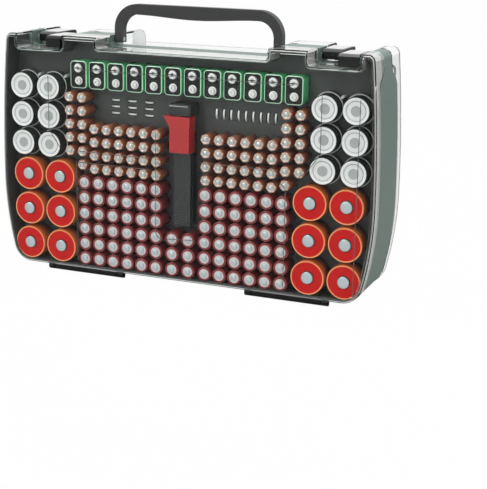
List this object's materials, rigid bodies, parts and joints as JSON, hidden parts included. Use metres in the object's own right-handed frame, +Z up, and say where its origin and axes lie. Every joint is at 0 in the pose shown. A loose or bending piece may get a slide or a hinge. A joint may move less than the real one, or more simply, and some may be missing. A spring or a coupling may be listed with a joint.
{
  "type": "battery storage case",
  "caption": "Double-sided carry case for loose battery cells: ring body with two socket trays, two clear hinged lids with top latches, folding handle and a sliding cell tester.",
  "frame": {"origin": "middle of the footprint, at the level of the table the case stands on", "axes": "+X to the right of someone who faces the tester side, +Y from the tester side to the back, +Z up"},
  "size_m": [0.3892, 0.088, 0.2698],
  "materials": {
    "body_green": "fine satin moulded plastic",
    "deck_charcoal": "satin charcoal moulded plastic",
    "clear_lid": "clear glossy plastic",
    "latch_black": "glossy moulded plastic",
    "pin_steel": "drawn steel pin",
    "handle_charcoal": "satin moulded plastic",
    "tester_black": "glossy moulded plastic",
    "slider_red": "glossy red moulded plastic",
    "contact_brass": "bare metal strip",
    "cell_dark_red": "printed sleeve over a steel can",
    "cell_copper": "printed sleeve over a steel can",
    "cell_red": "printed sleeve over a steel can",
    "cell_white": "printed sleeve over a steel can",
    "cell_green": "printed sleeve over a steel can",
    "cell_yellow": "printed sleeve over a steel can",
    "cell_grey": "printed sleeve over a steel can",
    "cell_grey_pink": "printed sleeve over a steel can",
    "cell_purple": "printed sleeve over a steel can",
    "cell_salmon": "printed sleeve over a steel can",
    "coin_steel": "plated steel can"
  },
  "bodies": {
    "case": {"body_frame": "body_green", "front_tray": "deck_charcoal", "back_tray": "deck_charcoal", "latch_pins": "pin_steel", "handle_pins": "pin_steel", "tester_rail": "deck_charcoal", "tester_cap": "tester_black", "tester_contact": "contact_brass", "aa_cells": "cell_dark_red", "aaa_cells": "cell_copper", "d_cells": "cell_red", "c_cells": "cell_white", "nine_volt_cells": "cell_green", "small_coin_cells": "coin_steel", "large_coin_cells": "coin_steel", "back_yellow_cells": "cell_yellow", "back_photo_cells": "cell_grey", "back_camera_cells": "cell_grey_pink", "back_half_aa_cells": "cell_purple", "back_remote_cells": "cell_green", "back_aa_cells": "cell_salmon", "back_slim_cells": "cell_grey", "back_aaa_cells": "cell_green"},
    "front_lid": {"front_lid": "clear_lid"},
    "back_lid": {"back_lid": "clear_lid"},
    "latch_front_left": {"latch_front_left": "latch_black"},
    "latch_front_right": {"latch_front_right": "latch_black"},
    "latch_back_left": {"latch_back_left": "latch_black"},
    "latch_back_right": {"latch_back_right": "latch_black"},
    "handle": {"handle": "handle_charcoal"},
    "slider": {"tester_slider": "slider_red", "slider_contact": "contact_brass"}
  },
  "joints": [
    {"name": "front_lid_hinge", "type": "hinge", "parent": "case", "child": "front_lid", "pos_m": [0, -0.03, 0.0042], "axis": [1, 0, 0], "range_deg": [0, 180]},
    {"name": "back_lid_hinge", "type": "hinge", "parent": "case", "child": "back_lid", "pos_m": [0, 0.03, 0.0042], "axis": [-1, 0, 0], "range_deg": [0, 180]},
    {"name": "latch_front_left_pivot", "type": "hinge", "parent": "case", "child": "latch_front_left", "pos_m": [-0.1369, 0.002, 0.232], "axis": [-1, 0, 0], "range_deg": [0, 100]},
    {"name": "latch_front_right_pivot", "type": "hinge", "parent": "case", "child": "latch_front_right", "pos_m": [0.162, 0.002, 0.232], "axis": [-1, 0, 0], "range_deg": [0, 100]},
    {"name": "latch_back_left_pivot", "type": "hinge", "parent": "case", "child": "latch_back_left", "pos_m": [-0.162, -0.002, 0.232], "axis": [1, 0, 0], "range_deg": [0, 100]},
    {"name": "latch_back_right_pivot", "type": "hinge", "parent": "case", "child": "latch_back_right", "pos_m": [0.1369, -0.002, 0.232], "axis": [1, 0, 0], "range_deg": [0, 100]},
    {"name": "handle_swing", "type": "hinge", "parent": "case", "child": "handle", "pos_m": [0, 0, 0.2354], "axis": [1, 0, 0], "range_deg": [-90, 90]},
    {"name": "tester_slide", "type": "slide", "parent": "case", "child": "slider", "axis": [0, 0, 1], "range_m": [-0.07, 0]}
  ]
}
